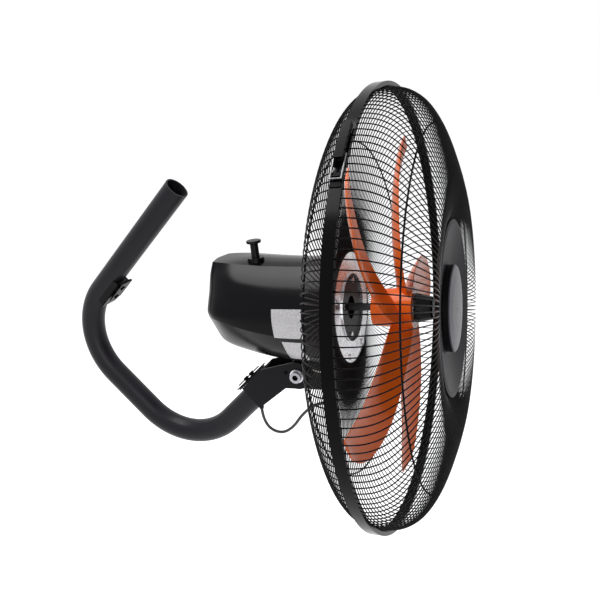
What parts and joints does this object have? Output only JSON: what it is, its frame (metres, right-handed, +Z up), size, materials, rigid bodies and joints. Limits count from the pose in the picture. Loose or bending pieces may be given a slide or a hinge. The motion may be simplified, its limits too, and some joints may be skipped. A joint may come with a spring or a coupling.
{
  "type": "wall mounted fan",
  "caption": "Wall mounted fan: caged impeller on an enclosed oscillating motor, carried on a bent tube arm with a tilt bracket.",
  "frame": {"origin": "centre of the arm tube's open end, where the wall fixture (not shown in the picture) plugs in", "axes": "+Z up, -Y the way the air blows along the fan's level axis, so +Y points to the wall; X is the fan's left and right"},
  "size_m": [0.5099, 0.5366, 0.51],
  "materials": {
    "arm_coat": "satin",
    "black_steel": "satin",
    "wire_black": "gloss",
    "housing_plastic": "gloss",
    "blade_orange": "gloss",
    "black_plastic": "satin",
    "grey_plastic": "gloss",
    "badge_face": "gloss",
    "label_silver": "satin",
    "zinc_steel": "bright",
    "chrome": "polished",
    "cast_alloy": "painted satin",
    "die_cast": "as cast",
    "core_steel": "laminated steel",
    "copper": "enamelled copper wire",
    "bronze": "sintered bronze",
    "nylon": "natural",
    "rubber": "matt",
    "lead_jacket": "satin"
  },
  "bodies": {
    "arm": {"arm_tube": "arm_coat", "pad_saddles": "rubber", "pad_plates": "black_steel", "pad_caps": "black_plastic", "pad_screws": "zinc_steel", "tilt_bracket": "arm_coat", "tilt_stop_pin": "zinc_steel", "tilt_bolt": "chrome", "tilt_nut": "zinc_steel", "tilt_washers": "zinc_steel", "lead_grommet": "rubber", "motor_lead": "lead_jacket"},
    "neck": {"neck_grommet": "rubber", "neck_casting": "cast_alloy", "swivel_post": "zinc_steel", "thrust_washer": "nylon", "swivel_clip": "zinc_steel", "link_stud": "zinc_steel"},
    "head": {"swivel_frame": "cast_alloy", "motor_housing": "housing_plastic", "rating_labels": "label_silver", "stator_core": "core_steel", "stator_windings": "copper", "front_shield": "die_cast", "rear_shield": "die_cast", "shaft_bushes": "bronze", "shield_bolts": "zinc_steel", "shield_nuts": "zinc_steel", "front_cover": "housing_plastic", "rear_guard_plate": "zinc_steel", "screws_m4": "zinc_steel", "screws_m3": "zinc_steel", "gearbox_case": "nylon", "gearbox_cover": "nylon", "capacitor": "black_plastic", "knob_collar": "black_plastic", "front_guard": "wire_black", "rear_guard": "wire_black", "centre_plate": "grey_plastic", "badge": "badge_face", "badge_clips": "zinc_steel", "clamp_band": "wire_black", "latch_base": "black_steel", "latch_catch": "black_steel"},
    "rotor": {"rotor_shaft": "zinc_steel", "rotor_core": "core_steel", "rotor_end_rings": "die_cast", "drive_pin": "zinc_steel", "fan_blade": "blade_orange", "hub_washer": "zinc_steel", "spinner_nut": "black_plastic", "worm": "bronze"},
    "wheel": {"worm_wheel": "nylon", "pinion_spindle": "zinc_steel"},
    "crank": {"crank_gear": "nylon", "crank_spindle": "zinc_steel"},
    "link": {"drive_link": "zinc_steel"},
    "knob": {"osc_knob": "black_plastic"},
    "lever": {"latch_lever": "zinc_steel"},
    "hook": {"latch_hook": "zinc_steel"}
  },
  "joints": [
    {"name": "tilt", "type": "hinge", "parent": "arm", "child": "neck", "pos_m": [0, -0.1397, -0.2437], "axis": [1, 0, 0], "range_deg": [-20, 20], "deforming": ["motor_lead"]},
    {"name": "swing", "type": "hinge", "parent": "neck", "child": "head", "pos_m": [0, -0.1785, -0.2349], "axis": [0, 0, 1], "range_deg": [-40, 40]},
    {"name": "rotor_spin", "type": "hinge", "parent": "head", "child": "rotor", "pos_m": [0, -0.2, -0.1569], "axis": [0, 1, 0], "continuous": true},
    {"name": "wheel_spin", "type": "hinge", "parent": "head", "child": "wheel", "pos_m": [-0.012, -0.1021, -0.1569], "axis": [0, 0, 1], "continuous": true},
    {"name": "crank_spin", "type": "hinge", "parent": "head", "child": "crank", "pos_m": [0.012, -0.1021, -0.1569], "axis": [0, 0, 1], "continuous": true},
    {"name": "link_turn", "type": "hinge", "parent": "crank", "child": "link", "pos_m": [0.024, -0.1021, -0.2094], "axis": [0, 0, 1], "continuous": true},
    {"name": "knob_slide", "type": "slide", "parent": "head", "child": "knob", "axis": [0, 0, 1], "range_m": [-0.008, 0]},
    {"name": "latch_open", "type": "hinge", "parent": "head", "child": "lever", "pos_m": [-0.16939, -0.2725, 0.03797], "axis": [0, -1, 0], "range_deg": [0, 110]},
    {"name": "hook_turn", "type": "hinge", "parent": "lever", "child": "hook", "pos_m": [-0.16359, -0.2725, 0.04195], "axis": [0, -1, 0], "range_deg": [-110, 0]}
  ],
  "couplings": [
    {"joint": "wheel_spin", "follows": "rotor_spin", "ratio": -0.05},
    {"joint": "crank_spin", "follows": "rotor_spin", "ratio": 0.01},
    {"joint": "link_turn", "follows": "rotor_spin", "ratio": -0.01},
    {"joint": "hook_turn", "follows": "latch_open", "ratio": -1}
  ]
}
